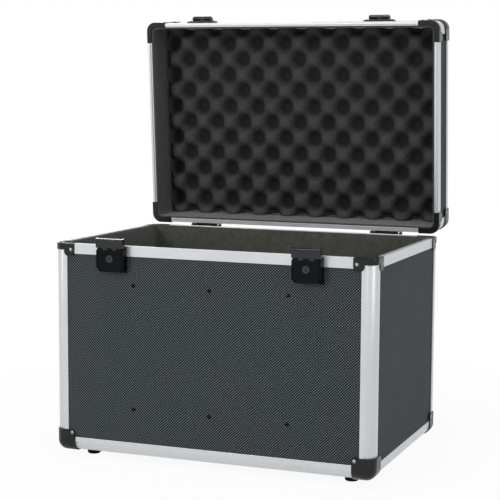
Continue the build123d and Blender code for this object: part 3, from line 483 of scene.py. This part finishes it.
def add_block(name, low, high):
    """A block between two corners, ready to be shaped."""
    bpy.ops.mesh.primitive_cube_add(size=1, location=(low + high) / 2)
    piece = bpy.context.object
    piece.name = name
    piece.scale = high - low
    bpy.ops.object.transform_apply(location=False, rotation=False, scale=True)
    return piece


def choose(piece, kind, wanted):
    """Goes into edit mode with only the wanted faces or edges selected, judged by their corners."""
    bpy.ops.object.mode_set(mode="EDIT")
    bpy.ops.mesh.select_mode(type=kind)
    bpy.ops.mesh.select_all(action="DESELECT")
    bpy.ops.object.mode_set(mode="OBJECT")
    for item in piece.data.polygons if kind == "FACE" else piece.data.edges:
        item.select = wanted([piece.data.vertices[i].co for i in item.vertices])
    bpy.ops.object.mode_set(mode="EDIT")


def soften(piece, width, segments):
    """Rounds a piece's sharp edges with a modifier, and applies all its modifiers in their order."""
    soft = piece.modifiers.new("soft edge", "BEVEL")
    soft.width = width
    soft.segments = segments
    soft.limit_method = "ANGLE"
    soft.angle_limit = math.radians(60)
    only(piece)
    for modifier in list(piece.modifiers):
        bpy.ops.object.modifier_apply(modifier=modifier.name)


def settle(piece, body, material, place=None):
    """Puts a finished piece in the case's frame, smooths it and lets it ride on a body."""
    only(piece)
    if place is not None:
        piece.matrix_world = place @ piece.matrix_world
    bpy.ops.object.transform_apply(location=True, rotation=True, scale=True)
    bpy.ops.object.shade_smooth_by_angle(angle=math.radians(40))
    piece.data.materials.clear()
    piece.data.materials.append(material)
    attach(piece, body)


def shut_box(node):
    """Corners of a lid node's box with the lid shut, where its sides are square to the axes."""
    points = [SHUT_LID @ vertex.co for vertex in frame["nodes"][node].data.vertices]
    low = Vector([min(point[i] for point in points) for i in range(3)])
    high = Vector([max(point[i] for point in points) for i in range(3)])
    return low, high


def smooth_step(value):
    """An even rise from 0 to 1 with no corner at either end."""
    value = max(0.0, min(1.0, value))
    return value * value * (3 - 2 * value)


class FLIGHTCASE_OT_panels(bpy.types.Operator):
    """Gives the wall, floor and lid panels their embossed laminate"""

    bl_idname = "flight_case.panels"
    bl_label = "Panels"

    def execute(self, context):
        right_angle = math.radians(90)
        for name, turn, nodes in (
                ("laminate front and rear", (right_angle, 0, 0),
                 ["front_panel", "rear_panel", "lid_top_panel"]),
                ("laminate sides", (0, right_angle, 0),
                 ["left_panel", "right_panel", "lid_left_panel", "lid_right_panel"]),
                ("laminate level", (0, 0, 0),
                 ["bottom_panel", "lid_front_panel", "lid_rear_panel"])):
            dress(nodes, embossed_laminate(name, turn))
        return {"FINISHED"}


class FLIGHTCASE_OT_profiles(bpy.types.Operator):
    """Gives the edge, corner and rim profiles their anodised aluminium"""

    bl_idname = "flight_case.profiles"
    bl_label = "Aluminium profiles"

    def execute(self, context):
        nodes = ["corner_posts", "bottom_edges", "base_rims", "lid_corner_posts", "lid_top_edges", "lid_rims"]
        dress(nodes, satin_anodised_aluminium())
        break_edges(nodes, sizes().edge_break)
        return {"FINISHED"}


class FLIGHTCASE_OT_corners(bpy.types.Operator):
    """Gives the ball corners and rim corners their moulded plastic"""

    bl_idname = "flight_case.corners"
    bl_label = "Moulded corners"

    def execute(self, context):
        nodes = ["base_ball_corners", "lid_ball_corners", "base_rim_corners", "lid_rim_corners"]
        dress(nodes, moulded_abs())
        break_edges(nodes, sizes().moulded_edge)
        return {"FINISHED"}


class FLIGHTCASE_OT_fasteners(bpy.types.Operator):
    """Gives rivets, screws and pins their plated or blackened steel, and the feet and grip their rubber"""

    bl_idname = "flight_case.fasteners"
    bl_label = "Fasteners and feet"

    def execute(self, context):
        dress(["base_corner_rivets", "lid_corner_rivets", "foot_screws", "hinge_base_rivets",
               "hinge_lid_rivets", "hinge_pin_left", "hinge_pin_right"], zinc_plated_steel())
        dress(["divider_screws", "handle_screws", "catch_rivets", "latch_rivets", "latch_pivot_pins",
               "draw_pin_left", "draw_pin_right"], blackened_steel("blackened steel", finishes().oxide))
        dress(["rubber_feet", "handle_grip"], moulded_rubber())
        return {"FINISHED"}


class FLIGHTCASE_OT_latches(bpy.types.Operator):
    """Gives latches, catches, hinges and handle their coated steel, whose black on the hinge leaves is
    painted shade for the gap between lid and body, and the locks their burnished steel
    """

    bl_idname = "flight_case.latches"
    bl_label = "Latches, hinges and handle"

    def execute(self, context):
        glossy = ["latch_hook_left", "latch_hook_right", "catch_left", "catch_right", "handle_brackets"]
        dull = ["latch_base_left", "latch_base_right", "latch_lever_left", "latch_lever_right"]
        # The hinge leaves' black is painted shade: their knuckles stand for the shadow in the gap between lid
        # and body
        leaves = [f"hinge_{half}_leaf_{side}" for half in ("base", "lid") for side in ("left", "right")]
        dress(glossy + ["handle_bail"], powder_coated_steel("smooth powder coat", 0.45))
        dress(dull + leaves, powder_coated_steel("dull powder coat", 0.06))
        dress(["lock_cylinder_left", "lock_cylinder_right"],
              blackened_steel("burnished lock", finishes().lock))
        break_edges(glossy + dull, sizes().moulded_edge)
        break_edges(leaves, sizes().edge_break)
        return {"FINISHED"}


class FLIGHTCASE_OT_linings(bpy.types.Operator):
    """Models the cloth-faced linings of the body and the lid in place of their plain solids"""

    bl_idname = "flight_case.linings"
    bl_label = "Linings"

    def sleeve(self, name, low, high):
        """A sleeve of lining with rounded corners and a soft edge, just inside two corners of a box."""
        inset = Vector((LINING_CLEARANCE, LINING_CLEARANCE, 0))
        low, high = low + inset, high - inset
        half = (high - low) / 2
        piece = add_block(name, low, high)
        choose(piece, "FACE", lambda corners: all(abs(corner.z - corners[0].z) < MM for corner in corners))
        bpy.ops.mesh.delete(type="ONLY_FACE")
        bpy.ops.mesh.select_all(action="SELECT")
        bpy.ops.mesh.subdivide(number_cuts=10)
        choose(piece, "EDGE", lambda ends: all(
            abs(abs(end.x) - half.x) < MM and abs(abs(end.y) - half.y) < MM for end in ends))
        bpy.ops.mesh.bevel(offset=LINING_CORNER, segments=6)
        bpy.ops.object.mode_set(mode="OBJECT")
        wall = piece.modifiers.new("wall", "SOLIDIFY")
        wall.thickness = LINING_THICKNESS
        wall.offset = -1
        soften(piece, LINING_EDGE, 3)
        return piece

    def execute(self, context):
        cloth = needled_cloth()
        body = self.sleeve("body_lining", *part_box("base_wall_liner"))
        settle(body, "base", cloth)
        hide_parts("base_wall_liner")
        lid = self.sleeve("lid_lining", *shut_box("lid_liner"))
        settle(lid, "lid", cloth, OPEN_LID)
        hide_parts("lid_liner")
        return {"FINISHED"}


class FLIGHTCASE_OT_floor_and_dividers(bpy.types.Operator):
    """Models the floor pad and the three cloth-faced dividers in place of their plain solids"""

    bl_idname = "flight_case.floor_and_dividers"
    bl_label = "Floor pad and dividers"

    def board(self, name, low, high, round_over, cuts):
        """A cloth-faced board with softly rounded edges and a slightly uneven face."""
        centre, span = (low + high) / 2, high - low
        piece = add_block(name, low, high)
        bpy.ops.object.mode_set(mode="EDIT")
        bpy.ops.mesh.select_all(action="SELECT")
        bpy.ops.mesh.subdivide(number_cuts=cuts)
        bpy.ops.object.mode_set(mode="OBJECT")
        soften(piece, round_over, 4)
        for vertex in piece.data.vertices:
            place = vertex.co + centre
            swell = sum(math.sin(Vector(wave).dot(place)) for wave in PADDING_WAVES) / len(PADDING_WAVES)
            outward = [abs(vertex.co[i]) / span[i] for i in range(3)]
            axis = outward.index(max(outward))
            vertex.co[axis] *= 1 - sizes().lining_wave * (1 + swell) / span[axis]
        return piece

    def execute(self, context):
        cloth = bpy.data.materials["needled cloth"]
        pad = self.board("floor_pad", *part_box("floor_liner"), PAD_EDGE, PAD_CUTS)
        settle(pad, "base", cloth)
        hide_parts("floor_liner")
        for side in ("left", "centre", "right"):
            node = f"divider_{side}"
            divider = self.board(f"{node}_board", *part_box(node), DIVIDER_EDGE, DIVIDER_CUTS)
            settle(divider, "base", cloth)
            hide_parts(node)
        return {"FINISHED"}


class FLIGHTCASE_OT_foam(bpy.types.Operator):
    """Models the egg-crate foam of the lid in place of its plain solid"""

    bl_idname = "flight_case.foam"
    bl_label = "Egg-crate foam"

    def pit_depth(self, x, y):
        """Depth below the peaks at a place, from 0 on a peak to 1 at a pit's bottom."""
        crest = (math.cos(2 * math.pi * x / sizes().foam_pitch_x)
                 * math.cos(2 * math.pi * y / sizes().foam_pitch_y))
        return smooth_step((crest + 1) / 2) ** PIT_SHARPNESS

    def shape_front(self, foam, span):
        """Sinks the pits into a flat sheet that faces down, and works its rim."""
        depths = foam.data.attributes.new(PIT_DEPTH, "FLOAT", "POINT").data
        for vertex in foam.data.vertices:
            x, y = vertex.co.x, vertex.co.y
            dip = self.pit_depth(x, y)
            # How far down a pit a point lies, for the painted shade in the pits and the painted light on the
            # peaks
            depths[vertex.index].value = dip ** PIT_SHADE
            uneven = math.prod(math.sin(across * x + along * y) for across, along in FOAM_WAVES)
            side_gap, end_gap = span.x / 2 - abs(x), span.y / 2 - abs(y)
            edge = min(side_gap, end_gap)
            pull = ((RIM_PULL_PEAK + (RIM_PULL_PIT - RIM_PULL_PEAK) * dip)
                    * (1 - smooth_step(edge / RIM_PULL_MARGIN)))
            if side_gap < end_gap:
                vertex.co.x -= math.copysign(pull, x)
            else:
                vertex.co.y -= math.copysign(pull, y)
            sunk = (dip * sizes().foam_relief + FOAM_SWELL * (1 + uneven)
                    + RIM_ROUND * (1 - smooth_step(edge / RIM_ROUND_MARGIN)))
            thickness = (RIM_THICKNESS + (PIT_THICKNESS - RIM_THICKNESS)
                         * smooth_step(edge / THICKNESS_MARGIN))
            vertex.co.z = min(sunk, span.z - thickness)

    def close_back(self, foam, span):
        """Takes the sheet's rim back to the glue line and closes it with one flat face."""
        only(foam)
        bpy.ops.object.mode_set(mode="EDIT")
        bpy.ops.mesh.select_all(action="SELECT")
        bpy.ops.mesh.region_to_loop()
        bpy.ops.mesh.extrude_edges_move(TRANSFORM_OT_translate={"value": (0, 0, span.z / 3)})
        bpy.ops.object.mode_set(mode="OBJECT")
        for vertex in foam.data.vertices:
            if vertex.select:
                vertex.co.z = span.z - FOAM_GLUE_LINE
        bpy.ops.object.mode_set(mode="EDIT")
        bpy.ops.mesh.edge_face_add()
        bpy.ops.mesh.select_all(action="SELECT")
        bpy.ops.mesh.normals_make_consistent(inside=False)
        bpy.ops.object.mode_set(mode="OBJECT")

    def execute(self, context):
        low, high = shut_box("lid_foam")
        centre, span = (low + high) / 2, high - low
        bpy.ops.mesh.primitive_grid_add(
            x_subdivisions=round(span.x / FOAM_STEP), y_subdivisions=round(span.y / FOAM_STEP),
            size=1, location=(centre.x, centre.y, low.z))
        foam = bpy.context.object
        foam.name = "egg_crate_foam"
        foam.scale = (span.x, span.y, 1)
        bpy.ops.object.transform_apply(location=False, rotation=False, scale=True)
        self.shape_front(foam, span)
        self.close_back(foam, span)
        settle(foam, "lid", open_cell_foam(), OPEN_LID)
        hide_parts("lid_foam")
        return {"FINISHED"}


class FLIGHTCASE_OT_stage(bpy.types.Operator):
    """Makes the pale floor, the soft lights and the camera at the photograph's angle"""

    bl_idname = "flight_case.stage"
    bl_label = "Stage"

    def seen_rays(self, tree):
        """1 for what the camera sees by itself, in a gloss or through glass, and 0 for scattered light."""
        rays = add_node(tree, "ShaderNodeLightPath")
        direct = add_node(tree, "ShaderNodeMath", {"operation": "MAXIMUM"}, links={
            0: rays.outputs["Is Camera Ray"], 1: rays.outputs["Is Transmission Ray"]})
        shown = add_node(tree, "ShaderNodeMath", {"operation": "MAXIMUM"}, links={
            0: direct.outputs["Value"], 1: rays.outputs["Is Glossy Ray"]})
        return shown.outputs["Value"]

    def floor(self):
        """Pale floor that keeps a light shadow near the case and turns pure white away from it."""
        bpy.ops.mesh.primitive_plane_add(size=FLOOR_WIDTH, location=(0, 0, cad_low.z - FLOOR_GAP))
        floor = bpy.context.object
        floor.name = "floor"
        material, tree, shader, place = new_material("pale floor", {
            "Base Color": colour("#f4f4f4"), "Metallic": 0.0, "Roughness": 0.9, "Specular IOR Level": 0.0})
        far = add_node(tree, "ShaderNodeVectorMath", {"operation": "LENGTH"}, links={"Vector": place})
        white = add_node(tree, "ShaderNodeMapRange", values={
            "From Min": SHADOW_REACH[0], "From Max": SHADOW_REACH[1], "To Min": WHITE_SHARE, "To Max": 1.0},
            links={"Value": far.outputs["Value"]})
        share = add_node(tree, "ShaderNodeMath", {"operation": "MULTIPLY"}, links={
            0: white.outputs["Result"], 1: self.seen_rays(tree)})
        glow = add_node(tree, "ShaderNodeEmission", values={"Color": WHITE, "Strength": 1.0})
        mix = add_node(tree, "ShaderNodeMixShader", links={
            "Fac": share.outputs["Value"], 1: shader.outputs["BSDF"], 2: glow.outputs["Emission"]})
        fill_sockets(tree, tree.nodes["Material Output"], links={"Surface": mix.outputs["Shader"]})
        floor.data.materials.append(material)

    def world(self):
        """White surroundings where they are seen or reflected, and a dimmer, even light on the case."""
        world = bpy.data.worlds.new("studio")
        bpy.context.scene.world = world
        world.use_nodes = True
        tree = world.node_tree
        level = add_node(tree, "ShaderNodeMapRange", values={"To Min": WORLD_LIGHT, "To Max": 1.0},
                         links={"Value": self.seen_rays(tree)})
        fill_sockets(tree, tree.nodes["Background"], {"Color": WHITE}, {"Strength": level.outputs["Result"]})

    def lamp(self, name, place, width, power):
        """A square soft lamp turned to the middle of the case."""
        bpy.ops.object.light_add(type="AREA", location=place)
        light = bpy.context.object
        light.name = name
        light.data.shape = "SQUARE"
        light.data.size = width
        light.data.energy = power
        aim = (cad_low + cad_high) / 2 - Vector(place)
        light.rotation_euler = aim.to_track_quat("-Z", "Y").to_euler()

    def camera(self):
        """The camera at the place, turn and focal length measured from the photograph."""
        yaw, pitch, roll = (math.radians(angle) for angle in (YAW, PITCH, ROLL))
        back = Vector((math.sin(yaw) * math.cos(pitch), -math.cos(yaw) * math.cos(pitch), math.sin(pitch)))
        right = Vector((math.cos(yaw), math.sin(yaw), 0))
        up = back.cross(right)
        right, up = (math.cos(roll) * right + math.sin(roll) * up,
                     -math.sin(roll) * right + math.cos(roll) * up)
        place = Vector((AIM_X, case_low.y, case_low.z + AIM_HEIGHT)) + back * DISTANCE
        bpy.ops.object.camera_add()
        camera = bpy.context.object
        camera.matrix_world = Matrix((
            (right.x, up.x, back.x, place.x), (right.y, up.y, back.y, place.y),
            (right.z, up.z, back.z, place.z), (0, 0, 0, 1)))
        camera.data.sensor_width = SENSOR_WIDTH
        camera.data.lens = FOCAL / PHOTO_WIDTH * SENSOR_WIDTH
        camera.data.shift_x, camera.data.shift_y = SHIFT
        bpy.context.scene.camera = camera

    def execute(self, context):
        context.scene.view_settings.view_transform = "Standard"
        self.floor()
        self.world()
        for lamp in LAMPS:
            self.lamp(*lamp)
        self.camera()
        return {"FINISHED"}


class FLIGHTCASE_PT_sidebar(bpy.types.Panel):
    """Lists the settings and the steps"""

    bl_label = "Flight Case"
    bl_idname = "FLIGHTCASE_PT_sidebar"
    bl_space_type = "VIEW_3D"
    bl_region_type = "UI"
    bl_category = "Flight Case"

    def draw(self, context):
        for group in (sizes(), finishes()):
            for name in group.bl_rna.properties.keys():
                if name not in ("rna_type", "name"):
                    self.layout.prop(group, name)
        for step in STEPS:
            self.layout.operator(step.bl_idname)


STEPS = (FLIGHTCASE_OT_panels, FLIGHTCASE_OT_profiles, FLIGHTCASE_OT_corners, FLIGHTCASE_OT_fasteners,
         FLIGHTCASE_OT_latches, FLIGHTCASE_OT_linings, FLIGHTCASE_OT_floor_and_dividers,
         FLIGHTCASE_OT_foam, FLIGHTCASE_OT_stage)
CLASSES = (FlightCaseSizes, FlightCaseFinishes, *STEPS, FLIGHTCASE_PT_sidebar)


def register():
    """Makes the classes and their settings known."""
    for cls in CLASSES:
        bpy.utils.register_class(cls)
    bpy.types.Scene.flight_case_sizes = bpy.props.PointerProperty(type=FlightCaseSizes)
    bpy.types.Scene.flight_case_finishes = bpy.props.PointerProperty(type=FlightCaseFinishes)


def unregister():
    """Takes the classes and their settings away again."""
    del bpy.types.Scene.flight_case_finishes
    del bpy.types.Scene.flight_case_sizes
    for cls in reversed(CLASSES):
        bpy.utils.unregister_class(cls)


def main():
    """Registers the add-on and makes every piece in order."""
    register()
    bpy.ops.object.select_all(action="DESELECT")
    bpy.ops.flight_case.panels()
    bpy.ops.flight_case.profiles()
    bpy.ops.flight_case.corners()
    bpy.ops.flight_case.fasteners()
    bpy.ops.flight_case.latches()
    bpy.ops.flight_case.linings()
    bpy.ops.flight_case.floor_and_dividers()
    bpy.ops.flight_case.foam()
    bpy.ops.flight_case.stage()


if __name__ == "__main__":
    main()
